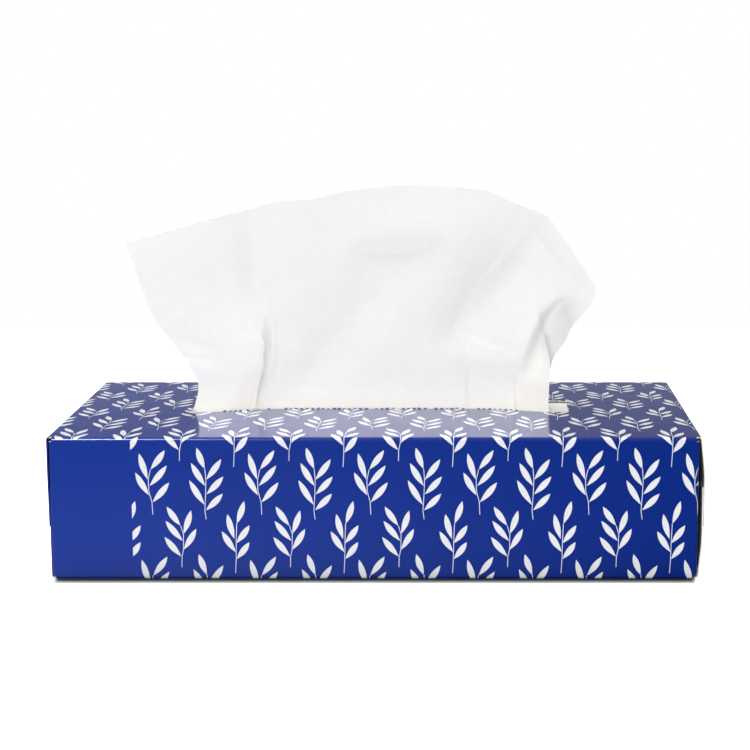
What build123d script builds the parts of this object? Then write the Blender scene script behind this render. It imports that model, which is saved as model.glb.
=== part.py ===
"""Flat carton of facial tissues, with one sheet standing up out of its slot.

Millimetres. X runs along the carton, Y towards its back, Z up from the surface it stands on.
The origin is the middle of the carton's underside.
"""

from build123d import *
import os

os.makedirs("parts", exist_ok=True)

# Carton: one folded and glued blank
length = 230.0  # front panel, between its end folds
depth = 118.0  # outside, front panel to back panel
height = 51.5  # outside, underside to top panel
board = 0.5  # board thickness
fold_radius = 1.2  # outside of every fold
layer_gap = 0.1  # between layers of board that lie together without glue
glue_tab = 15.0  # tab inside the back panel
back_edge_lift = 0.4  # raw lower edge of the back panel, above the fold below it

# End flaps: the top panel's flap is glued over the bottom panel's flap
flap_overlap = 14.5  # height over which the two are glued
flap_inset = 0.4  # flap's side edges, in from the folds beside it
flap_taper = 1.5  # what each side edge loses towards the free edge
bow_margin = 5.0  # flaps run upright this far past the glued zone
bow_radius = 60.0  # soft bend where a flap turns upright
bulge_left = 0.15  # how far the glued flaps stand out at each end
bulge_right = 1.5
dust_flap = 45.0  # flaps of the front and back panels, behind the other two
dust_flap_inset = 0.4  # dust flap's upper and lower edges, in from the folds beside it

# Slot in the top panel, narrow in the middle and wide at the ends
slot_length = 144.0
slot_waist = 12.0  # width along the middle
slot_end_width = 24.6  # width at the ends
slot_offset = 3.0  # slot's middle line, back from the carton's
slot_end_run = 10.0  # length of each wide end
slot_flare = 22.0  # length over which the slot widens
slot_flare_radius = 22.0
slot_end_radius = 7.0
slot_corner_radius = 3.0
nick_pitch = 1.2  # stubs of board left where the tear-out was perforated
nick_width = 0.45
nick_stub = 0.35

# Tissues: folded sheets, each tucked into the next, filling the carton but for these gaps
stack_end_gap = 10.5  # at each end of the carton
stack_side_gap = 6.5  # to the front and back panels
stack_headroom = 3.5  # under the top panel
stack_length = length - 2 * (board + stack_end_gap)
stack_width = depth - 2 * (board + stack_side_gap)
stack_top = height - board - stack_headroom
stack_shoulder = 5.0  # how much lower the stack is along its folded edges
stack_crown = 36.0  # width of the level middle of the stack's top
stack_edge_radius = 4.0
stack_crown_radius = 60.0

# The pulled-up sheet, gathered in the slot
sheet_rise = 84.1  # highest point, above the top panel
sheet_clearance = 0.3  # between its foot and the stack
gather_pitch = 22.0  # along the carton, from one fold to the next
gather_depth = 1.6  # folds stand this far either side of the slot's middle line
gather_radius = 18.0
gather_thickness = 3.0

# Outline of the pulled-up sheet seen from the front, clockwise from the slot's left end:
# shares of half the slot's length across, and of the sheet's rise above the top panel
left_edge = [(-0.97, 0.0), (-1.01, 0.16), (-1.09, 0.28), (-1.2, 0.41), (-1.33, 0.744)]
top_edge = [(-1.33, 0.744), (-0.68, 0.899), (-0.35, 0.944), (0.16, 1.0), (0.54, 0.98), (0.89, 0.863)]
right_edge = [(0.89, 0.863), (1.14, 0.54), (0.91, 0.195), (0.89, 0.0)]


def strip(points, radii):
    """Board seen edge on: its middle line runs through the points, bent at each inner one."""
    return trace(FilletPolyline(*points, radius=radii), board)


def sleeve():
    """Back, top, front and bottom panels, and the tab glued inside the back panel."""
    wall = depth / 2 - board / 2
    top = height - board / 2
    panels = [
        (wall, fold_radius + back_edge_lift),
        (wall, top),
        (-wall, top),
        (-wall, board / 2),
        (0, board / 2),
    ]
    tab = [(0, board / 2), (wall - board, board / 2), (wall - board, glue_tab)]
    run = length - 2 * fold_radius
    end = Plane.YZ.offset(-run / 2)
    bend = fold_radius - board / 2
    return extrude(end * strip(panels, bend), run) + extrude(end * strip(tab, bend), run)


def tapered(profile, fold_z, free_z):
    """An end flap from its profile, with side edges that draw in towards its free edge."""
    at_fold = depth / 2 - fold_radius - flap_inset
    at_free = at_fold - flap_taper
    outline = Polyline(
        (-at_fold, fold_z), (at_fold, fold_z), (at_free, free_z), (-at_free, free_z), close=True
    )
    blank = extrude(Plane.XZ * profile, depth / 2, both=True)
    return blank & extrude(Plane.YZ * make_face(outline), length)


def end_flaps(bulge):
    """The two glued flaps of the right end, standing out by the bulge."""
    flap = (height + flap_overlap) / 2
    bow = (height - flap_overlap) / 2 - bow_margin
    radii = [fold_radius - board / 2, bow_radius]
    start = length / 2 - 2 * fold_radius
    inner = length / 2 + layer_gap + board / 2
    outer = inner + board
    bottom_line = [(start, board / 2), (inner, board / 2), (inner + bulge, bow), (inner + bulge, flap)]
    top_line = [
        (start, height - board / 2),
        (outer, height - board / 2),
        (outer + bulge, height - bow),
        (outer + bulge, height - flap),
    ]
    return [
        tapered(strip(bottom_line, radii), 0, flap),
        tapered(strip(top_line, radii), height, height - flap),
    ]


def dust_flaps():
    """The right end's inner flaps, from the front panel and the back panel."""
    wall = depth / 2 - board / 2
    start = length / 2 - 2 * fold_radius
    end_x = length / 2 - board / 2
    low = fold_radius + dust_flap_inset
    middle_line = [(start, -wall), (end_x, -wall), (end_x, dust_flap - depth / 2)]
    section = strip(middle_line, fold_radius - board / 2)
    front = extrude(Plane.XY.offset(low) * section, height - 2 * low)
    return [front, mirror(front, about=Plane.XZ)]


def slot_outline():
    """The slot's edge: narrow along the middle, flared to a wide run at each end."""
    end_x = slot_length / 2
    flare_x = end_x - slot_end_run
    waist_x = flare_x - slot_flare
    wide = slot_end_width / 2
    narrow = slot_waist / 2
    front = [(-end_x, -wide), (-flare_x, -wide), (-waist_x, -narrow)]
    front += [(-x, y) for x, y in reversed(front)]
    back = [(-x, -y) for x, y in front]
    radii = [slot_corner_radius, slot_end_radius, slot_flare_radius]
    radii += radii[::-1]
    return Wire(FilletPolyline(*front, *back, radius=radii * 2, close=True).edges())


def slot_cutter():
    """What the slot takes out of the top panel, less the stubs its perforation leaves."""
    edge = slot_outline()
    count = round(edge.length / nick_pitch)
    shares = [i / count for i in range(count)]
    stub = Rectangle(nick_width, 2 * nick_stub)
    stubs = [Plane(edge.position_at(u), x_dir=edge.tangent_at(u)) * stub for u in shares]
    opening = Pos(0, slot_offset, height - 2 * board) * (make_face(edge) - stubs)
    return extrude(opening, 3 * board)


def carton():
    """The whole folded blank: sleeve, end flaps and slot."""
    folded = sleeve()
    for flap in end_flaps(bulge_right) + dust_flaps():
        folded += flap
    for flap in end_flaps(bulge_left) + dust_flaps():
        folded += mirror(flap, about=Plane.YZ)
    return folded - slot_cutter()


def tissue_stack():
    """The folded pile: upright folded edges along the carton, a crowned top."""
    side = stack_width / 2
    crown = stack_crown / 2
    low = board
    shoulder = stack_top - stack_shoulder
    outline = FilletPolyline(
        (-side, low),
        (-side, shoulder),
        (-crown, stack_top),
        (crown, stack_top),
        (side, shoulder),
        (side, low),
        radius=[stack_edge_radius, stack_crown_radius, stack_crown_radius, stack_edge_radius],
    )
    outline += Line((side, low), (-side, low))
    return extrude(Plane.YZ * make_face(outline), stack_length / 2, both=True)


def outline_points(shares):
    """Points of the pulled-up sheet's outline, in X and Z, from their shares."""
    return [(x * slot_length / 2, height + z * sheet_rise) for x, z in shares]


def pop_up_tissue():
    """The sheet standing in the slot: a band of soft upright folds, cut to its outline."""
    foot = stack_top + sheet_clearance
    left = outline_points(left_edge)
    right = outline_points(right_edge)
    outline = Spline(left) + Spline(outline_points(top_edge)) + Polyline(right)
    outline += Polyline(right[-1], (right[-1][0], foot), (left[0][0], foot), left[0])
    count = 2 * round(slot_length / gather_pitch)
    turns = [
        ((i - count / 2) * gather_pitch, slot_offset + gather_depth * (-1) ** i)
        for i in range(count + 1)
    ]
    band = trace(FilletPolyline(*turns, radius=gather_radius), gather_thickness)
    upright = extrude(Pos(0, 0, foot) * band, height + sheet_rise)
    return upright & extrude(Plane.XZ * make_face(outline), depth / 2, both=True)


export_step(carton(), "parts/carton.step")
export_step(tissue_stack(), "parts/tissue_stack.step")
export_step(pop_up_tissue(), "parts/pop_up_tissue.step")
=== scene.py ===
# Tissue box: printed carton, folded stack and one sheet standing up out of the slot.
import math
import bmesh
import bpy
import numpy as np
from mathutils import Matrix, Vector


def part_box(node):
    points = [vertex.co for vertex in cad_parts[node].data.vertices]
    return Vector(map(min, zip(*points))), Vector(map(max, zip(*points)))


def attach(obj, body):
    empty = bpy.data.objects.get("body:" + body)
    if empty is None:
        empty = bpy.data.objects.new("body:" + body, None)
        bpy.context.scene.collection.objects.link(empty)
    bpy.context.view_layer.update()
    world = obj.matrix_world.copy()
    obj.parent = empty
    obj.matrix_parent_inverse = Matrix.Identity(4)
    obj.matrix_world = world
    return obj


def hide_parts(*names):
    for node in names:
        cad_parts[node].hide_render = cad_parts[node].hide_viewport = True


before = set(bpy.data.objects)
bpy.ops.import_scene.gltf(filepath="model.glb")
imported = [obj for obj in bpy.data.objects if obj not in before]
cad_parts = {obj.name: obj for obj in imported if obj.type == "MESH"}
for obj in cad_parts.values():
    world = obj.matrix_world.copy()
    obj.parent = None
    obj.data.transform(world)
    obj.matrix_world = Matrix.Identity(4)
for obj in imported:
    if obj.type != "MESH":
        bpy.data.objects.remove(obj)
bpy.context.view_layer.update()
mm = 0.001


# node helpers

def feed(tree, value, socket):
    # a socket takes a link or a plain value
    if isinstance(value, bpy.types.NodeSocket):
        tree.links.new(value, socket)
    else:
        socket.default_value = value


def addNode(tree, kind, inputs=None, **settings):
    node = tree.nodes.new(kind)
    for name, value in settings.items():
        setattr(node, name, value)
    for name, value in (inputs or {}).items():
        feed(tree, value, node.inputs[name])
    return node


def calc(tree, operation, *values, clamp=False):
    node = addNode(tree, "ShaderNodeMath", dict(enumerate(values)), operation=operation, use_clamp=clamp)
    return node.outputs[0]


def vectorCalc(tree, operation, *values, output="Vector"):
    node = addNode(tree, "ShaderNodeVectorMath", dict(enumerate(values)), operation=operation)
    return node.outputs[output]


def scaleVector(tree, vector, share):
    return addNode(tree, "ShaderNodeVectorMath", {0: vector, "Scale": share}, operation="SCALE").outputs[0]


def separate(tree, vector):
    return addNode(tree, "ShaderNodeSeparateXYZ", {0: vector}).outputs


def addNoise(tree, place, scale, detail, roughness=0.5):
    inputs = {"Vector": place, "Scale": scale, "Detail": detail, "Roughness": roughness}
    return addNode(tree, "ShaderNodeTexNoise", inputs).outputs["Fac"]


def blendColor(tree, share, first, second):
    node = addNode(tree, "ShaderNodeMix", data_type="RGBA")
    for name, value in (("Factor_Float", share), ("A_Color", first), ("B_Color", second)):
        feed(tree, value, next(socket for socket in node.inputs if socket.identifier == name))
    return next(socket for socket in node.outputs if socket.identifier == "Result_Color")


def newGroup(name, inputs, outputs):
    tree = bpy.data.node_groups.new(name, "ShaderNodeTree")
    for kind, sockets in (("INPUT", inputs), ("OUTPUT", outputs)):
        for label, form in sockets.items():
            tree.interface.new_socket(label, in_out=kind, socket_type="NodeSocket" + form)
    return tree, tree.nodes.new("NodeGroupInput").outputs, tree.nodes.new("NodeGroupOutput").inputs


def placeGroup(tree, group, inputs):
    return addNode(tree, "ShaderNodeGroup", inputs, node_tree=group).outputs


def newMaterial(name):
    material = bpy.data.materials.new(name)
    material.use_nodes = True
    tree = material.node_tree
    return material, tree, tree.nodes["Principled BSDF"]


def setShader(shader, values):
    for name, value in values.items():
        shader.inputs[name].default_value = value


def addBump(tree, shader, height, strength, distance):
    bump = addNode(tree, "ShaderNodeBump", {"Height": height, "Strength": strength, "Distance": distance}).outputs[0]
    tree.links.new(bump, shader.inputs["Normal"])
    return bump


def placeInMillimetres(tree):
    return scaleVector(tree, addNode(tree, "ShaderNodeTexCoord").outputs["Object"], 1 / mm)


def addPiece(name, form, material):
    # a finished shape becomes a piece; the whole box is one body
    mesh = bpy.data.meshes.new(name)
    form.to_mesh(mesh)
    form.free()
    mesh.shade_smooth()
    mesh.materials.append(material)
    piece = bpy.data.objects.new(name, mesh)
    bpy.context.collection.objects.link(piece)
    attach(piece, "root")
    return piece


# the leaf print: four sprigs, each one repeating over the same square

printLook = {
    "repeat": 38.7,  # mm, both ways
    "leafWidth": 2.25,
    "leafBow": 0.16,
    "leafMiddle": 1.12,  # over 1 puts a leaf's widest place past its middle
    "leafPoint": 1.05,  # over 1 draws its ends out
    "stemWidth": 0.3,
    "edge": 0.07,  # mm over which an edge turns from blue to white
    "bandEdge": -86.1,  # no print left of this on the front and back panels
    "topSlip": 5.8,  # mm that the print on the top is set back, at most
    "sprigs": [
        {
            "at": (-78.7, 23.75),
            "leaves": [(-1.4, 12.5, -4.35, 22.2), (-1.1, 6.8, -5.85, 15.3), (-0.5, 16.2, 4.80, 23.3),
                       (-1.0, 10.2, 5.40, 17.8), (-0.1, 4.3, 6.10, 11.7)],
            "stem": [(0, 0), (-0.2, 4.5), (-1.2, 8.5), (-1.3, 12.5), (-0.5, 16.2)],
        },
        {
            "at": (-59.8, 22.05),
            "leaves": [(-0.1, 18.1, -2.85, 25.9), (0.0, 11.9, -4.95, 20.4), (-0.3, 5.0, -5.75, 14.2),
                       (0.2, 14.2, 5.80, 21.8), (0.2, 8.9, 6.40, 15.5), (-0.1, 3.1, 6.10, 9.3)],
            "stem": [(0, 0), (-0.4, 3.1), (0, 9.0), (0.2, 14.2), (-0.1, 18.2)],
        },
        {
            "at": (-68.8, 4.55),
            "leaves": [(-0.1, 15.0, -4.95, 22.1), (0.6, 9.4, -5.45, 16.9), (0.0, 3.7, -5.95, 11.0),
                       (0.8, 12.0, 3.70, 20.7), (0.7, 6.2, 5.40, 14.0)],
            "stem": [(0, 0), (0.1, 3.7), (0.7, 6.5), (0.8, 12.0), (-0.1, 15.0)],
        },
        {
            "at": (-49.7, 2.35),
            "leaves": [(0.7, 17.9, 3.50, 26.3), (-0.2, 12.3, -2.55, 21.6), (0.3, 7.5, -4.65, 15.3),
                       (0.4, 10.8, 5.30, 17.5), (0.4, 5.0, 5.10, 11.3)],
            "stem": [(0, 0), (0.3, 5.0), (0.4, 11.0), (0.7, 18.0)],
        },
    ],
}


def makeLeafGroup():
    tree, given, out = newGroup(
        "leaf",
        {"Place": "Vector", "Foot": "Vector", "Tip": "Vector", "Width": "Float", "Bow": "Float"},
        {"Mask": "Float"},
    )
    rel = vectorCalc(tree, "SUBTRACT", given["Place"], given["Foot"])
    span = vectorCalc(tree, "SUBTRACT", given["Tip"], given["Foot"])
    long = vectorCalc(tree, "LENGTH", span, output="Value")
    share = vectorCalc(tree, "DOT_PRODUCT", rel, span, output="Value")
    share = calc(tree, "DIVIDE", share, calc(tree, "MULTIPLY", long, long), clamp=True)
    off = calc(tree, "DIVIDE", separate(tree, vectorCalc(tree, "CROSS_PRODUCT", rel, span))["Z"], long)
    late = calc(tree, "POWER", share, printLook["leafMiddle"])
    arch = calc(tree, "MULTIPLY", calc(tree, "MULTIPLY", late, calc(tree, "SUBTRACT", 1.0, late)), 4.0)
    off = calc(tree, "ABSOLUTE", calc(tree, "SUBTRACT", off, calc(tree, "MULTIPLY", arch, given["Bow"])))
    half = calc(tree, "MULTIPLY", given["Width"], 0.5)
    half = calc(tree, "MULTIPLY", half, calc(tree, "POWER", arch, printLook["leafPoint"]))
    inside = calc(tree, "SUBTRACT", half, off)
    tree.links.new(calc(tree, "DIVIDE", inside, printLook["edge"], clamp=True), out["Mask"])
    return tree


def makeStemGroup():
    tree, given, out = newGroup(
        "stem", {"Place": "Vector", "Foot": "Vector", "Tip": "Vector", "Width": "Float"}, {"Mask": "Float"}
    )
    rel = vectorCalc(tree, "SUBTRACT", given["Place"], given["Foot"])
    span = vectorCalc(tree, "SUBTRACT", given["Tip"], given["Foot"])
    square = vectorCalc(tree, "DOT_PRODUCT", span, span, output="Value")
    share = vectorCalc(tree, "DOT_PRODUCT", rel, span, output="Value")
    share = calc(tree, "DIVIDE", share, square, clamp=True)
    nearest = scaleVector(tree, span, share)
    off = vectorCalc(tree, "LENGTH", vectorCalc(tree, "SUBTRACT", rel, nearest), output="Value")
    inside = calc(tree, "SUBTRACT", calc(tree, "MULTIPLY", given["Width"], 0.5), off)
    tree.links.new(calc(tree, "DIVIDE", inside, printLook["edge"], clamp=True), out["Mask"])
    return tree


def makePrintGroup():
    # input: place on the flat print in mm; output: 1 on a leaf or stem
    tree, given, out = newGroup("leafPrint", {"Place": "Vector"}, {"Mask": "Float"})
    leafGroup = makeLeafGroup()
    stemGroup = makeStemGroup()
    repeat = printLook["repeat"]
    middle = (repeat / 2, repeat / 6, 0.0)  # where a sprig's foot lies in its square
    square = (repeat, repeat, 1e6)
    total = None
    for sprig in printLook["sprigs"]:
        low = (sprig["at"][0] - middle[0], sprig["at"][1] - middle[1], -1.0)
        folded = vectorCalc(tree, "MODULO", vectorCalc(tree, "SUBTRACT", given["Place"], low), square)
        # MODULO keeps the sign of what it divides, so a second pass lifts the negative side
        lifted = vectorCalc(tree, "ADD", folded, (repeat, repeat, 0.0))
        lifted = vectorCalc(tree, "MODULO", lifted, square)
        local = vectorCalc(tree, "MULTIPLY", vectorCalc(tree, "SUBTRACT", lifted, middle), (1.0, 1.0, 0.0))
        for footX, footZ, tipX, tipZ in sprig["leaves"]:
            bow = printLook["leafBow"] * (1 if tipX > footX else -1)
            mask = placeGroup(tree, leafGroup, {
                "Place": local, "Foot": (footX, footZ, 0), "Tip": (tipX, tipZ, 0),
                "Width": printLook["leafWidth"], "Bow": bow,
            })["Mask"]
            total = mask if total is None else calc(tree, "MAXIMUM", total, mask)
        for foot, tip in zip(sprig["stem"], sprig["stem"][1:]):
            mask = placeGroup(tree, stemGroup, {
                "Place": local, "Foot": (*foot, 0), "Tip": (*tip, 0), "Width": printLook["stemWidth"],
            })["Mask"]
            total = calc(tree, "MAXIMUM", total, mask)
    tree.links.new(total, out["Mask"])
    return tree


# the carton's board: printed and coated outside, bare inside and on its cut edges

cartonLook = {
    "blue": (0.0022, 0.022, 0.205, 1),
    # darker blue: painted shade towards the right-hand end, and random cloudy patches
    "blueCloudAndPaintedShade": (0.001, 0.015, 0.155, 1),
    "leaf": (0.6, 0.6, 0.62, 1),
    "leafGrain": (0.36, 0.37, 0.4, 1),
    "leafTopPaintedLight": (0.8, 0.8, 0.82, 1),  # painted light: whiter on the top panel, standing in for the light that falls straight on it
    "bareBoard": (0.66, 0.65, 0.62, 1),
    "bareFibre": (0.5, 0.49, 0.46, 1),
    "gloss": 0.12,
    "bareDullness": 0.7,
    "coat": {"IOR": 1.45, "Coat Weight": 0.33, "Coat Roughness": 0.06},
    "wave": (0.12, 0.0006),  # strength and distance of the panels' slow waves
    "halfLength": 115.0,  # mm, of the sleeve without its end flaps
    "foldRadius": 1.2,
    "skin": 0.1,
}


def makeCartonMaterial():
    material, tree, shader = newMaterial("printedBoard")
    low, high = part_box("carton")
    halfDepth = (high.y - low.y) / 2 / mm
    height = high.z / mm
    halfLength = cartonLook["halfLength"]
    place = placeInMillimetres(tree)
    x, y, z = separate(tree, place)
    normal = separate(tree, addNode(tree, "ShaderNodeTexCoord").outputs["Normal"])

    # outer skin: how far a point stands from the carton's core, seen along the carton
    fold = cartonLook["foldRadius"]
    outY = calc(tree, "SUBTRACT", calc(tree, "ABSOLUTE", y), halfDepth - fold)
    outZ = calc(tree, "ABSOLUTE", calc(tree, "SUBTRACT", z, height / 2))
    outZ = calc(tree, "SUBTRACT", outZ, height / 2 - fold)
    squares = []
    for past in (calc(tree, "MAXIMUM", outY, 0.0), calc(tree, "MAXIMUM", outZ, 0.0)):
        squares.append(calc(tree, "MULTIPLY", past, past))
    reach = calc(tree, "SQRT", calc(tree, "ADD", *squares))
    skin = calc(tree, "GREATER_THAN", reach, fold - cartonLook["skin"])
    endZone = calc(tree, "GREATER_THAN", calc(tree, "ABSOLUTE", x), halfLength - 2 * fold)
    outward = calc(tree, "GREATER_THAN", calc(tree, "MULTIPLY", calc(tree, "SIGN", x), normal["X"]), 0.3)
    outward = calc(tree, "MAXIMUM", outward, calc(tree, "LESS_THAN", x, -halfLength))
    printed = calc(tree, "MAXIMUM", skin, calc(tree, "MULTIPLY", endZone, outward))

    # the print runs up the front and on over the top; the back panel has its own, the same way up
    back = calc(tree, "GREATER_THAN", y, halfDepth - fold / 2)
    front = calc(tree, "LESS_THAN", y, fold / 2 - halfDepth)
    top = calc(tree, "GREATER_THAN", z, height - fold / 2)
    along = calc(tree, "MULTIPLY", x, calc(tree, "SUBTRACT", 1.0, calc(tree, "MULTIPLY", back, 2.0)))
    overTop = calc(tree, "MULTIPLY", calc(tree, "ADD", y, halfDepth), calc(tree, "SUBTRACT", 1.0, back))
    # on the top the print lies a little further back than the fold alone would put it
    share = calc(tree, "POWER", calc(tree, "DIVIDE", overTop, halfDepth * 2, clamp=True), 0.8)
    slip = calc(tree, "MULTIPLY", calc(tree, "SINE", calc(tree, "MULTIPLY", share, math.pi)), printLook["topSlip"])
    up = calc(tree, "SUBTRACT", calc(tree, "ADD", z, overTop), slip)
    flat = addNode(tree, "ShaderNodeCombineXYZ", {"X": along, "Y": up}).outputs[0]
    mask = placeGroup(tree, makePrintGroup(), {"Place": flat})["Mask"]
    pastBand = calc(tree, "MAXIMUM", calc(tree, "GREATER_THAN", along, printLook["bandEdge"]), top)
    panel = calc(tree, "MAXIMUM", calc(tree, "MAXIMUM", front, back), top)
    onSleeve = calc(tree, "LESS_THAN", calc(tree, "ABSOLUTE", x), halfLength + 0.3)
    mask = calc(tree, "MULTIPLY", calc(tree, "MULTIPLY", mask, pastBand), calc(tree, "MULTIPLY", panel, onSleeve))

    # ink
    cloud = addNoise(tree, place, 0.03, 2.0)
    # painted light and shade: the blue is painted lighter towards the left end and darker towards the right, with
    # random cloudy tone over it
    cloudAndPaintedFalloff = calc(tree, "MULTIPLY_ADD", x, 0.5 / halfLength, calc(tree, "MULTIPLY_ADD", cloud, 0.5, 0.25), clamp=True)
    blue = blendColor(tree, cloudAndPaintedFalloff, cartonLook["blue"], cartonLook["blueCloudAndPaintedShade"])
    streak = {"Vector": flat, "Rotation": (0, 0, 0.9), "Scale": (0.9, 3.6, 1.0)}
    grain = addNoise(tree, addNode(tree, "ShaderNodeMapping", streak).outputs[0], 1.1, 3.0, 0.65)
    grain = calc(tree, "MULTIPLY", calc(tree, "SUBTRACT", grain, 0.42), 1.6, clamp=True)
    # painted light: on the top panel the leaves take the whiter painted-light ink
    leaf = blendColor(tree, top, cartonLook["leaf"], cartonLook["leafTopPaintedLight"])
    leaf = blendColor(tree, grain, leaf, cartonLook["leafGrain"])
    ink = blendColor(tree, mask, blue, leaf)
    bare = blendColor(tree, addNoise(tree, place, 1.4, 4.0), cartonLook["bareBoard"], cartonLook["bareFibre"])
    tree.links.new(blendColor(tree, printed, bare, ink), shader.inputs["Base Color"])

    # coat
    dull = calc(tree, "MULTIPLY", calc(tree, "SUBTRACT", 1.0, printed), cartonLook["bareDullness"])
    gloss = calc(tree, "ADD", calc(tree, "MULTIPLY", cloud, 0.05), cartonLook["gloss"])
    tree.links.new(calc(tree, "ADD", gloss, dull), shader.inputs["Roughness"])
    setShader(shader, cartonLook["coat"])
    addBump(tree, shader, addNoise(tree, place, 0.05, 1.0), *cartonLook["wave"])
    return material


def dressCarton():
    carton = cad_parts["carton"]
    carton.data.materials.clear()
    carton.data.materials.append(makeCartonMaterial())
    print("carton dressed")


# the slot's edge: teeth left by the perforation, and fibres torn out of the board's middle

tornLook = {
    "pitch": 2.05,  # mm from tooth to tooth
    "from": -60.0,  # the wide ends of the slot are cut clean
    "to": 54.0,
    "tooth": (0.8, 0.3, 0.34),  # half width, half thickness, height
    "fibre": (0.6, 0.2, 0.22),
    "missing": 0.12,  # share of the teeth that tore away
    "seed": 4,
    "toothColor": (0.13, 0.14, 0.33, 1),
    "fibreColor": (0.86, 0.86, 0.85, 1),
}


def slotLines():
    # the slot's front and back edges, as (X, Y) in mm, read off the carton's top face
    form = bmesh.new()
    form.from_mesh(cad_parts["carton"].data)
    bmesh.ops.remove_doubles(form, verts=form.verts, dist=1e-6)
    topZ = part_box("carton")[1].z
    middleY, halfLength, halfWidth = 3.0, 72.5, 12.8  # mm, a box round the slot
    top = [vert.co / mm for vert in form.verts if abs(vert.co.z - topZ) < 1e-5]
    form.free()
    edge = [co for co in top if abs(co.x) < halfLength and abs(co.y - middleY) < halfWidth]
    front = sorted((co.x, co.y) for co in edge if co.y < middleY)
    back = sorted((co.x, co.y) for co in edge if co.y > middleY)
    return front, back


def makePaintedMaterial(name, color, roughness):
    material, tree, shader = newMaterial(name)
    place = addNode(tree, "ShaderNodeTexCoord").outputs["Object"]
    darker = tuple(part * 0.7 for part in color[:3]) + (1,)
    painted = blendColor(tree, addNoise(tree, place, 1800.0, 2.0), color, darker)
    tree.links.new(painted, shader.inputs["Base Color"])
    setShader(shader, {"Roughness": roughness})
    return material


def makeTornEdge():
    rng = np.random.default_rng(tornLook["seed"])
    teeth = bmesh.new()
    fibres = bmesh.new()
    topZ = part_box("carton")[1].z / mm
    halfPitch = tornLook["pitch"] / 2
    for line, inward in zip(slotLines(), (1, -1)):
        xs, ys = zip(*line)
        for x in np.arange(xs[0] + 1, xs[-1] - 0.5, halfPitch):
            at = x + rng.uniform(-0.25, 0.25)
            y = np.interp(at, xs, ys)
            slope = math.atan(np.interp(at + 1, xs, ys) - np.interp(at - 1, xs, ys)) / 2
            isTooth = round((x - xs[0] - 1) / halfPitch) % 2 == 0
            if isTooth and (rng.random() < tornLook["missing"] or not tornLook["from"] < at < tornLook["to"]):
                continue
            size = Vector(tornLook["tooth" if isTooth else "fibre"]) * rng.uniform(0.7, 1.25)
            form = teeth if isTooth else fibres
            if isTooth:
                made = bmesh.ops.create_cone(form, cap_ends=True, segments=6, radius1=1, radius2=0.55, depth=1)
                lift = topZ + size.z * 0.4
            else:
                made = bmesh.ops.create_icosphere(form, subdivisions=1, radius=1)
                lift = topZ - 0.12
            place = Matrix.Translation(Vector((at, y + inward * 0.12, lift)) * mm) @ Matrix.Rotation(slope, 4, "Z")
            place = place @ Matrix.Rotation(rng.uniform(-0.25, 0.25), 4, "Y") @ Matrix.Diagonal((*(size * mm), 1))
            bmesh.ops.transform(form, matrix=place, verts=made["verts"])
    looks = (("torn_teeth", teeth, "toothColor", 0.45), ("torn_fibres", fibres, "fibreColor", 0.95))
    for name, form, color, roughness in looks:
        addPiece(name, form, makePaintedMaterial(name, tornLook[color], roughness))
    print("torn edge made")


# the standing sheet: a square of two-ply tissue, pleated in the slot and creased above it

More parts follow.
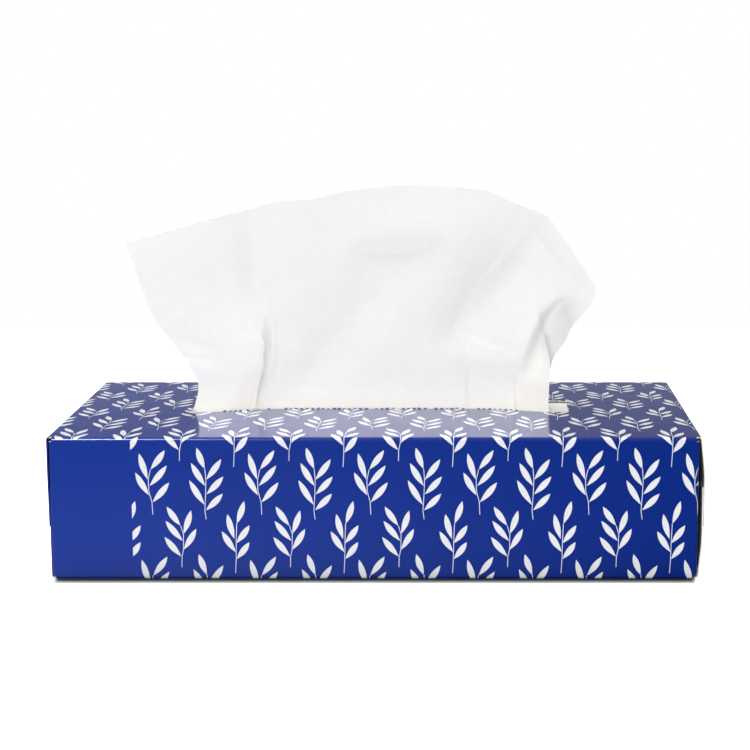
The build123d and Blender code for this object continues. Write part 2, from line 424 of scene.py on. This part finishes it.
sheetLook = {
    "side": 208.0,  # mm, both ways
    "columns": 150,
    "rowsOut": 58,  # from the slot up
    "rowsIn": 34,  # from the slot down into the carton
    "slotZ": round(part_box("carton")[1].z / mm, 2),
    "stand": 0.6,  # Y of the sheet where it leaves the slot
    "lean": 4.0,  # how far its top stands behind that
    # free edge: (distance along the sheet, X, Z), in two stretches with a corner between them
    "freeEdge": [(0, -95.7, 114.1), (28, -69.2, 121.8), (49, -48.9, 127.1), (60, -38.1, 129.8), (74, -25, 130.9),
                 (87, -13.1, 133.7), (113, 11.7, 135.6), (141, 39, 133.9), (153, 49.7, 129.6), (168, 63.9, 124.1)],
    "sideEdge": [(168, 63.9, 124.1), (197, 79.6, 101.1), (203, 81.9, 96.2), (208, 80.6, 92)],
    # at each height, where the sheet runs across: (distance along the sheet, X)
    # it turns back behind itself at each pleat
    "across": {
        51.5: [(0, -71.3), (23, -47.8), (35, -58.8), (47, -47), (127, 32.4), (131, 33.2), (135, 34.4), (155, 51.2),
               (159, 51.6), (163, 53), (175.5, 64.5), (191, 49.5), (208, 63.8)],
        60: [(0, -69.4), (24.5, -46.4), (36, -56), (46.5, -46.5), (127, 32.4), (131, 33.6), (135, 35), (155, 51.2),
             (158, 51.8), (161, 53), (173.5, 64.6), (190, 51), (208, 64.4)],
        68: [(0, -73), (28, -44), (36.5, -51.5), (45, -44.3), (127, 32.8), (134, 34.2), (158, 51.4),
             (173, 65), (186, 55), (208, 66.2)],
        75: [(0, -78.4), (33.8, -43.4), (38.5, -44.7), (43.5, -42.4), (127, 30), (134, 34), (156, 49),
             (175, 63.8), (181, 60.6), (208, 70.8)],
        82: [(0, -83.7), (37.4, -45.4), (42, -43.8), (46, -41.8), (128, 28), (150, 42), (160, 50.5), (172, 61.6),
             (178, 62.4), (208, 73.4)],
        92: [(0, -88.1), (40, -50), (47, -44), (138, 30), (156, 43), (172, 57.5), (184, 66), (208, 80.2)],
        104: [(0, -91.8), (40, -54), (48, -47), (141, 36), (158, 49), (176, 62.5), (190, 72.5), (208, 84)],
        118: [(0, -96), (40, -56), (48, -49), (143, 41), (158, 52), (170, 61.5), (190, 75), (208, 88)],
        136: [(0, -100), (40, -57), (48, -50), (143, 41), (158, 53), (170, 64), (190, 79), (208, 92)],
    },
    # how far each layer stands behind the one in front: (distance along the sheet, Y)
    "layers": {
        51.5: [(0, -0.8), (22, -1), (35, 0.3), (48, 1.6), (80, -0.6), (125, -0.8), (131, -0.2), (137, 0.4),
               (154, -0.5), (159, 0.3), (164, 0.8), (175.5, 0), (191, 1.8), (208, 3)],
        60: [(0, -1.5), (23, -2.3), (36, -0.6), (48, 1.2), (80, 0), (125, -0.2), (130.5, 0.3), (137, 0.6), (154, 0),
             (158, 0.5), (162, 0.5), (173.5, -1), (190, 1.6), (208, 4.5)],
        68: [(0, -1.5), (26, -3), (36.5, -1), (48, 1.2), (85, 0), (126, 0), (137, 0.3), (158, 0.2),
             (173, -1), (187, 2.4), (208, 5)],
        75: [(0, -1), (32, -3), (40, -1), (50, 1), (90, 0), (154, 0.2), (175, -0.5), (181, 2), (208, 4)],
        82: [(0, 0), (38, -2), (50, 0.6), (90, 0), (160, 0), (172, 0), (179, 1.2), (208, 2)],
        92: [(0, 0), (40, -0.6), (48, 0), (208, 0)],
        136: [(0, 0), (208, 0)],
    },
    # the right-hand pleat's front edge: (height, distance along the sheet)
    "lip": [(51.5, 175.5), (60, 173.5), (75, 174), (82, 172)],
    # the part inside the carton: (distance down from the slot, Y, Z)
    "inside": [(0, 0, 51.5), (1.6, -0.3, 49.9), (3.6, -2.0, 49.4), (8, -6.4, 49.3), (20, -18.4, 49.0),
               (52, -49.5, 44.9), (53, -49.9, 44.4), (54, -49.4, 43.9), (86, -18.0, 48.1), (101, -3.5, 48.4),
               (105, 0.8, 48.8), (109.5, 4.8, 50.1), (112, 7.2, 50.4), (117, 12, 50.6), (121, 16, 50.65),
               (124, 19, 50.4), (128, 23, 49.5), (134, 28, 47.9), (155, 47.5, 44.0), (170, 49.5, 43.6)],
}

# folds: each a line of (X, Z, depth in Y)
# a valley or ridge has a reach on its right and left and a blunt crest
# a step goes back by its depth over so many mm on its left, and fades out between two places along X
# one in front of the right-hand pleat leaves the layers behind alone
sheetFolds = [
    # broad shape
    {"line": [(-95, 100, -3), (-80, 104, -1.5)], "reach": (22, 22), "blunt": 12},
    {"line": [(15, 142, 4), (72, 128, 3)], "reach": (14, 14), "blunt": 9},
    # upper soft folds of the left half
    {"line": [(-49, 131, 2.4), (-48, 108, 4), (-45, 86, 3)], "reach": (5, 9), "blunt": 3},
    {"line": [(-34, 134, -1.2), (-35, 100, -2), (-35, 70, -1.6), (-33, 56, 0)], "reach": (10, 10), "blunt": 6},
    {"line": [(-19.5, 134, 1.3), (-20, 118, 1.4), (-20, 102, 0)], "reach": (6, 5), "blunt": 3},
    # the panel that hangs over in the middle
    {"line": [(-11, 118, -0.5), (5, 119.5, -1.2), (24, 118, -1), (36, 121, -0.4)], "reach": (14, 8), "blunt": 4},
    {"line": [(-14, 109.4, 0), (-4, 109.6, 2.8), (8, 110.2, 4), (18, 112, 3.2), (27, 114.2, 0)],
     "reach": (7, 2.2), "blunt": 1.4},
    {"line": [(10, 102, 0.4), (-5, 92, 3.4), (-18, 77, 4.6), (-29, 59, 3.2)], "reach": (6, 13), "blunt": 4},
    {"line": [(24, 106, -0.3), (8, 90, -1.5), (-4, 73, -1.4), (-12, 60, -0.5)], "reach": (14, 8), "blunt": 5},
    # the deep fold that runs down from the right-hand corner, and the broad ridge beside it
    {"line": [(63.5, 123.8, 0.5), (57.6, 119.5, 4.4), (49.2, 110, 8.2), (41.6, 101, 9.2), (34.4, 91.7, 8),
              (28, 80, 4.6), (26.5, 72, 0.4)],
     "reach": (4.8, 11), "blunt": 2.4},
    {"line": [(60, 112, -0.3), (51, 99, -0.8), (45, 86, -0.8), (41, 72, -0.3)], "reach": (10, 6), "blunt": 4},
    {"line": [(30, 84, 0.2), (32.6, 72, 1.6), (34.2, 64, 2.2), (33, 52, 1.4)], "reach": (3, 3.5), "blunt": 1.2},
    {"line": [(53, 68, 0.2), (52, 60, 1.8), (51.6, 50, 1.1)], "reach": (1.8, 1.8), "blunt": 0.7},
    # the hollow beside the left-hand pleat
    {"line": [(-41.4, 87, 0.2), (-41, 79, 3), (-41.4, 67, 3.6), (-43.5, 57, 1)], "reach": (3.4, 0.9), "blunt": 0.8},
    # the hood's edge, the hollow under it and the tongue in front
    {"line": [(92, 92, 4.5), (73, 94.2, 6), (67.5, 93, 8), (62.2, 87.4, 9), (58, 80, 7.4), (54.6, 71, 4),
              (52.6, 62, 0.6), (52, 54, 0)], "step": 3.8, "until": (64, 78)},
    {"line": [(62.5, 83, -2.2), (61.4, 75, -3.6), (61, 64, -2.4), (61, 54, -0.4)],
     "reach": (3.4, 4), "blunt": 2, "front": True},
    {"line": [(58.2, 71, 0.2), (58, 66, 1.5), (58.6, 60, 0.1)], "reach": (1.8, 1.8), "blunt": 0.8, "front": True},
    # dents in the left panel
    {"line": [(-82, 78, 1.4), (-72, 76, 2), (-60, 73, 0.5)], "reach": (2.5, 5), "blunt": 1.4},
    {"line": [(-76, 71, 1.1), (-66, 70, 1.3), (-57, 68, 0.3)], "reach": (2, 3), "blunt": 1},
]


def smoothStep(low, high, value):
    share = np.clip((value - low) / (high - low), 0, 1)
    return share * share * (3 - 2 * share)


def through(knots, values, at):
    # smooth curve through given values that never swings past them
    knots = np.array(knots, float)
    values = np.array(values, float).reshape(len(knots), -1)
    values = np.broadcast_to(values, (len(knots), at.size))
    steps = np.diff(knots)[:, None]
    rates = np.diff(values, axis=0) / steps
    before, after = rates[:-1], rates[1:]
    alike = before * after > 0
    mean = 2 * before * after / np.where(alike, before + after, 1)
    tangents = np.concatenate([rates[:1], np.where(alike, mean, 0), rates[-1:]])
    index = np.clip(np.searchsorted(knots, at, side="right") - 1, 0, len(knots) - 2)
    column = np.arange(at.size)
    step = knots[index + 1] - knots[index]
    s = np.clip((at - knots[index]) / step, -0.5, 1.5)
    return ((2 * s ** 3 - 3 * s ** 2 + 1) * values[index, column]
            + (s ** 3 - 2 * s ** 2 + s) * step * tangents[index, column]
            + (3 * s ** 2 - 2 * s ** 3) * values[index + 1, column]
            + (s ** 3 - s ** 2) * step * tangents[index + 1, column])


def surface(table, along, z):
    # a table of rows, one for each height, read at places along the sheet and heights
    rows = [through(*zip(*row), along) for row in table.values()]
    return through(list(table), rows, z)


def foldDepth(fold, x, z):
    # depth falls off on either side of the nearest stretch of the fold's line
    best = np.full(x.shape, 1e9)
    depth = np.zeros(x.shape)
    side = np.zeros(x.shape)
    for (x0, z0, d0), (x1, z1, d1) in zip(fold["line"], fold["line"][1:]):
        spanX, spanZ = x1 - x0, z1 - z0
        share = np.clip(((x - x0) * spanX + (z - z0) * spanZ) / (spanX ** 2 + spanZ ** 2), 0, 1)
        off = np.hypot(x - x0 - share * spanX, z - z0 - share * spanZ)
        nearer = off < best
        best = np.where(nearer, off, best)
        depth = np.where(nearer, d0 + (d1 - d0) * share, depth)
        side = np.where(nearer, (spanX * (z - z0) - spanZ * (x - x0)) / math.hypot(spanX, spanZ), side)
    if "step" in fold:
        return depth * smoothStep(-0.3, fold["step"], side) * (1 - smoothStep(*fold["until"], x))
    right, left = fold["reach"]
    blunt = fold["blunt"]
    reach = right + (left - right) * (0.5 + 0.5 * np.tanh(side / max(blunt, 0.5)))
    return depth * np.exp(-(np.sqrt(best ** 2 + blunt ** 2) - blunt) / reach)


def sheetOut(along, share):
    # the part above the slot: share runs from the slot, 0, to the free edge, 1
    corner = along > sheetLook["sideEdge"][0][0]
    stretches = [list(zip(*sheetLook[name])) for name in ("freeEdge", "sideEdge")]
    edgeX = np.where(corner, *[through(at, x, along) for at, x, z in stretches[::-1]])
    edgeZ = np.where(corner, *[through(at, z, along) for at, x, z in stretches[::-1]])
    slotZ = sheetLook["slotZ"]
    z = slotZ + share * (edgeZ - slotZ)
    x = surface(sheetLook["across"], along, z)
    miss = edgeX - surface(sheetLook["across"], along, edgeZ)
    x = x + miss * smoothStep(0.45, 1, share)
    y = surface(sheetLook["layers"], along, z)
    free = smoothStep(slotZ - 1, 72, z)
    lip = np.interp(z, *zip(*sheetLook["lip"]))
    inFront = 1 - smoothStep(0, 6, along - lip)
    for fold in sheetFolds:
        y = y + foldDepth(fold, x, z) * free * (inFront if "front" in fold else 1)
    return x, y + sheetLook["stand"] + sheetLook["lean"] * smoothStep(56, 135, z), z


def sheetIn(along, down):
    # the part inside the carton: it turns forward under the board, folds, and comes back beneath itself
    x0, y0, _ = sheetOut(along, np.zeros(along.shape))
    spread = 1 - (1 - np.clip(down / 46, 0, 1)) ** 2
    x = x0 + ((along - sheetLook["side"] / 2) * 0.97 - x0) * spread
    at, pathY, pathZ = zip(*sheetLook["inside"])
    y = y0 * (1 - smoothStep(0, 6, down)) + through(at, pathY, down)
    return x, y, through(at, pathZ, down)


def makeSheet():
    side = sheetLook["side"]
    columns, rowsOut, rowsIn = (sheetLook[name] for name in ("columns", "rowsOut", "rowsIn"))
    rows = rowsOut + rowsIn
    form = bmesh.new()
    form.loops.layers.uv.new("flat")
    bmesh.ops.create_grid(form, x_segments=columns, y_segments=rows, size=1.0, calc_uvs=True)
    places = np.array([vert.co[:] for vert in form.verts])
    along = (places[:, 0] + 1) / 2 * side
    row = np.round((places[:, 1] + 1) / 2 * rows)
    share = np.clip((row - rowsIn) / rowsOut, 0, 1)
    out = sheetOut(along, share)
    edgeZ = sheetOut(along, np.ones(along.shape))[2]
    hidden = side - (edgeZ - sheetLook["slotZ"]) * 1.02
    inner = sheetIn(along, np.clip((rowsIn - row) / rowsIn, 0, 1) ** 1.3 * hidden)
    for vert, inside, *place in zip(form.verts, row < rowsIn, *out, *inner):
        vert.co = Vector(place[3:] if inside else place[:3]) * mm
    sheet = addPiece("standing_sheet", form, makeTissueMaterial())
    smooth = sheet.modifiers.new("smooth", "SUBSURF")
    smooth.levels = smooth.render_levels = 1
    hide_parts("pop_up_tissue")
    print("sheet made")


# the folded pile under the sheet: plies lie level, their folds and cut edges show on its sides

pileLook = {
    "layers": 40,
    "columns": (34, 18),  # along the carton and across it
    "groove": 0.55,  # mm that every other layer stands back
    "uneven": 0.35,
    "room": 1.2,  # mm kept clear of the carton all round
    "ripple": 0.35,
    "sag": 0.5,  # how far the top lies below the room it has
    "seed": 7,
}


def pileTop(y):
    # height of the crowned top at a place across the carton, in mm, read off the room kept for the pile
    low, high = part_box("tissue_stack")
    places = [vert.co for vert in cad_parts["tissue_stack"].data.vertices]
    crown = sorted((co.y / mm, co.z / mm) for co in places if co.z > (low.z + high.z) / 2)
    return np.interp(y, *zip(*crown))


def makePile():
    rng = np.random.default_rng(pileLook["seed"])
    low, high = (np.array(corner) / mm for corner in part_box("tissue_stack"))
    half = (high - low) / 2 - (pileLook["room"], pileLook["room"], 0)
    layers = pileLook["layers"]
    form = bmesh.new()
    bmesh.ops.create_cube(form, size=2.0)
    for axis, cuts in enumerate((*pileLook["columns"], layers)):
        edges = [edge for edge in form.edges if abs(edge.verts[0].co[axis] - edge.verts[1].co[axis]) > 1e-3]
        bmesh.ops.subdivide_edges(form, edges=edges, cuts=cuts - 1, use_grid_fill=True)
    shift = rng.uniform(-1, 1, (layers + 1, 2)) * pileLook["uneven"]
    for vert in form.verts:
        x, y, z = vert.co
        level = round((z + 1) / 2 * layers)
        inset = pileLook["groove"] * (level % 2) + 0.25 * math.sin(7 * x + 3 * z) * math.cos(5 * y + 11 * z)
        sideX, sideY = abs(x) > 0.999, abs(y) > 0.999
        placeX = x * (half[0] - inset * sideX) + shift[level, 0] * sideX
        placeY = y * (half[1] - inset * sideY) + shift[level, 1] * sideY
        top = pileTop(min(max(placeY, low[1] + 0.1), high[1] - 0.1)) - pileLook["sag"]
        ripple = pileLook["ripple"] * math.sin(9 * x + 2 * y) * math.cos(6 * y - 4 * x) * level / layers
        placeZ = low[2] + 0.1 + (top - 0.35 - low[2]) * level / layers + ripple
        vert.co = Vector((placeX, placeY, placeZ)) * mm
    bmesh.ops.recalc_face_normals(form, faces=form.faces)
    pile = addPiece("folded_pile", form, makePileMaterial())
    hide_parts("tissue_stack")
    print("pile made")


tissueLook = {
    # painted shade: higher up the sheet is painted darker than near the slot
    "paper": (0.785, 0.775, 0.756, 1),
    "paperPaintedLightLow": (0.966, 0.95, 0.912, 1),  # painted light: near the slot the sheet is painted lighter, standing in for the light that reaches its foot
    "lowFrom": 105.0,  # mm above the floor where that starts, and where it is full
    "lowTo": 52.0,
    "plyGapPaintedShade": (0.7, 0.69, 0.67, 1),
    "through": 0.28,
    "matt": {"Roughness": 0.95, "Specular IOR Level": 0.15},
}


def makePaperGroup():
    # creped paper: colour and relief from a place in mm; the colour is painted lighter the lower it lies, painted
    # light
    tree, given, out = newGroup(
        "crepedPaper", {"Place": "Vector", "Crumple": "Float"}, {"Color": "Color", "Height": "Float"}
    )
    place = given["Place"]
    cloud = addNoise(tree, place, 0.25, 3.0)
    # painted light: lighter the lower it lies, from lowFrom down to lowTo, broken by random cloud
    fade = {"Value": separate(tree, place)["Z"], "From Min": tissueLook["lowFrom"], "From Max": tissueLook["lowTo"]}
    low = addNode(tree, "ShaderNodeMapRange", fade).outputs[0]
    low = calc(tree, "MULTIPLY_ADD", calc(tree, "SUBTRACT", cloud, 0.5), 0.3, low, clamp=True)
    tree.links.new(blendColor(tree, low, tissueLook["paper"], tissueLook["paperPaintedLightLow"]), out["Color"])
    fibre = calc(tree, "MULTIPLY", addNoise(tree, place, 2.2, 4.0, 0.7), 0.07)
    crumple = calc(tree, "MULTIPLY", addNoise(tree, place, 0.16, 3.0, 0.55), given["Crumple"])
    tree.links.new(calc(tree, "ADD", fibre, crumple), out["Height"])
    return tree


paperGroup = makePaperGroup()


def makeTissueMaterial():
    material, tree, shader = newMaterial("tissue")
    paper = placeGroup(tree, paperGroup, {"Place": placeInMillimetres(tree), "Crumple": 1.0})
    tree.links.new(paper["Color"], shader.inputs["Base Color"])
    setShader(shader, tissueLook["matt"])
    bump = addBump(tree, shader, paper["Height"], 0.25, 0.0012)
    back = addNode(tree, "ShaderNodeBsdfTranslucent", {"Color": paper["Color"], "Normal": bump}).outputs[0]
    mix = addNode(tree, "ShaderNodeMixShader", {0: tissueLook["through"], 1: shader.outputs[0], 2: back}).outputs[0]
    tree.links.new(mix, tree.nodes["Material Output"].inputs["Surface"])
    return material


def makePileMaterial():
    # the same paper, with fine darker level lines where the plies end: painted shade in the gaps between the plies
    material, tree, shader = newMaterial("foldedTissue")
    place = placeInMillimetres(tree)
    paper = placeGroup(tree, paperGroup, {"Place": place, "Crumple": 0.6})
    level = addNode(tree, "ShaderNodeMapping", {"Vector": place, "Scale": (0.03, 0.03, 6.0)}).outputs[0]
    plies = addNoise(tree, level, 1.0, 2.0)
    # painted shade: the ply lines darken the paper's colour
    shaded = blendColor(tree, calc(tree, "MULTIPLY", plies, 0.4), paper["Color"], tissueLook["plyGapPaintedShade"])
    tree.links.new(shaded, shader.inputs["Base Color"])
    setShader(shader, tissueLook["matt"])
    addBump(tree, shader, calc(tree, "ADD", paper["Height"], plies), 0.4, 0.0006)
    return material


# floor, light and camera

stageLook = {
    "lens": 92.2,
    "eye": (0.0300, -0.7235, 0.1848),
    "pitch": 9.472,  # degrees below level
    "shift": -0.112,
    "floor": (0.95, 0.95, 0.95, 1),
    "floorSize": (0.9, 0.47, 1.0),  # half the floor's length and depth
    "floorBack": 0.13,  # how far its middle lies behind the carton's
    "footprint": (0.1125, 0.059, 0.0),
    # painted shadow: the dark line where the carton meets the floor, painted in by the distance from its footprint
    "paintedContactShadow": {"From Min": 0.0013, "From Max": 0.0068, "To Min": 0.05},
    # the room's light by height of view, from straight down, -1, to straight up, 1
    "room": [(-1.0, 0.0), (-0.6, 0.1), (-0.33, 0.55), (-0.26, 0.42), (-0.2, 0.12), (-0.02, 0.02), (0.0, 0.34),
             (0.165, 0.32), (0.2, 0.14), (0.28, 0.07), (0.6, 0.12), (0.85, 0.5), (1.0, 0.6)],
}

lightLook = {
    "overhead": {"size": (0.9, 0.7), "power": 12.0, "place": (-0.2, 0.08, 0.95), "target": (0, 0, 0.05),
                 "leavesOut": "glossy"},
    "front": {"size": (1.0, 0.6), "power": 2.5, "place": (-0.6, -1.15, 0.62), "target": (0, 0, 0.07)},
    "fill": {"size": (1.4, 0.5), "power": 13.5, "place": (0.1, -1.3, 0.2), "target": (0, 0, 0.07),
             "leavesOut": "glossy"},
    "strip": {"size": (0.8, 0.5), "power": 34.0, "place": (-0.62, -0.85, 0.9), "target": (0, 0, 0.05),
              "leavesOut": "diffuse"},
}


def makeFloor():
    mesh = bpy.data.meshes.new("floor")
    form = bmesh.new()
    bmesh.ops.create_grid(form, x_segments=1, y_segments=1, size=1.0)
    bmesh.ops.scale(form, vec=stageLook["floorSize"], verts=form.verts)
    bmesh.ops.translate(form, vec=(0, stageLook["floorBack"], 0), verts=form.verts)
    form.to_mesh(mesh)
    form.free()
    floor = bpy.data.objects.new("floor", mesh)
    bpy.context.collection.objects.link(floor)
    material, tree, shader = newMaterial("paleFloor")
    place = addNode(tree, "ShaderNodeTexCoord").outputs["Object"]
    away = vectorCalc(tree, "SUBTRACT", vectorCalc(tree, "ABSOLUTE", place), stageLook["footprint"])
    away = vectorCalc(tree, "MAXIMUM", away, (0.0, 0.0, 0.0))
    away = vectorCalc(tree, "MULTIPLY", away, (3.0, 1.0, 1.0))  # shorter past the ends
    away = vectorCalc(tree, "LENGTH", away, output="Value")
    # painted shadow: the floor's colour, and its glow seen by the camera, fade to black near the carton
    paintedShadowFade = addNode(tree, "ShaderNodeMapRange", {"Value": away, **stageLook["paintedContactShadow"]}).outputs[0]
    tree.links.new(blendColor(tree, paintedShadowFade, (0, 0, 0, 1), stageLook["floor"]), shader.inputs["Base Color"])
    setShader(shader, {"Roughness": 0.9, "Specular IOR Level": 0.0, "Emission Color": (1, 1, 1, 1)})
    seen = addNode(tree, "ShaderNodeLightPath").outputs["Is Camera Ray"]
    glow = calc(tree, "MULTIPLY", calc(tree, "POWER", paintedShadowFade, 6.0), seen)
    tree.links.new(glow, shader.inputs["Emission Strength"])
    mesh.materials.append(material)
    floor.visible_glossy = False


def addLight(name, look):
    data = bpy.data.lights.new(name, "AREA")
    data.shape = "RECTANGLE"
    data.size, data.size_y = look["size"]
    data.energy = look["power"]
    light = bpy.data.objects.new(name, data)
    light.location = look["place"]
    light.rotation_euler = (Vector(look["target"]) - Vector(look["place"])).to_track_quat("-Z", "Y").to_euler()
    light.visible_glossy = look.get("leavesOut") != "glossy"
    light.visible_diffuse = look.get("leavesOut") != "diffuse"
    bpy.context.collection.objects.link(light)


def makeLight():
    world = bpy.data.worlds.new("studio")
    bpy.context.scene.world = world
    world.use_nodes = True
    tree = world.node_tree
    rays = addNode(tree, "ShaderNodeLightPath").outputs
    aim = addNode(tree, "ShaderNodeTexCoord").outputs["Generated"]
    aimX, _, up = separate(tree, aim)
    ramp = addNode(tree, "ShaderNodeValToRGB", {"Fac": calc(tree, "MULTIPLY_ADD", up, 0.5, 0.5)})
    stops = stageLook["room"]
    while len(ramp.color_ramp.elements) < len(stops):
        ramp.color_ramp.elements.new(0.5)
    for element, (height, level) in zip(ramp.color_ramp.elements, stops):
        element.position = height / 2 + 0.5
        element.color = (level, level, level, 1)
    # below the horizon only the left-hand side is bright
    bright = calc(tree, "MULTIPLY_ADD", aimX, -4.0, 0.5, clamp=True)
    bright = calc(tree, "MAXIMUM", bright, calc(tree, "GREATER_THAN", up, 0.0))
    bright = calc(tree, "MULTIPLY", ramp.outputs["Color"], bright)
    shade = calc(tree, "MAXIMUM", bright, rays["Is Camera Ray"])
    tree.links.new(shade, tree.nodes["Background"].inputs["Strength"])
    tree.nodes["Background"].inputs["Color"].default_value = (1, 1, 1, 1)
    for name, look in lightLook.items():
        addLight(name, look)


def makeCamera():
    data = bpy.data.cameras.new("camera")
    data.lens = stageLook["lens"]
    data.sensor_width = 36
    data.shift_x = stageLook["shift"]
    data.clip_start = 0.01
    camera = bpy.data.objects.new("camera", data)
    camera.location = stageLook["eye"]
    camera.rotation_euler = (math.radians(90 - stageLook["pitch"]), 0, 0)
    bpy.context.collection.objects.link(camera)
    bpy.context.scene.camera = camera


bpy.context.scene.view_settings.view_transform = "Standard"
makeCamera()
makeFloor()
makeLight()
dressCarton()
makeTornEdge()
makePile()
makeSheet()
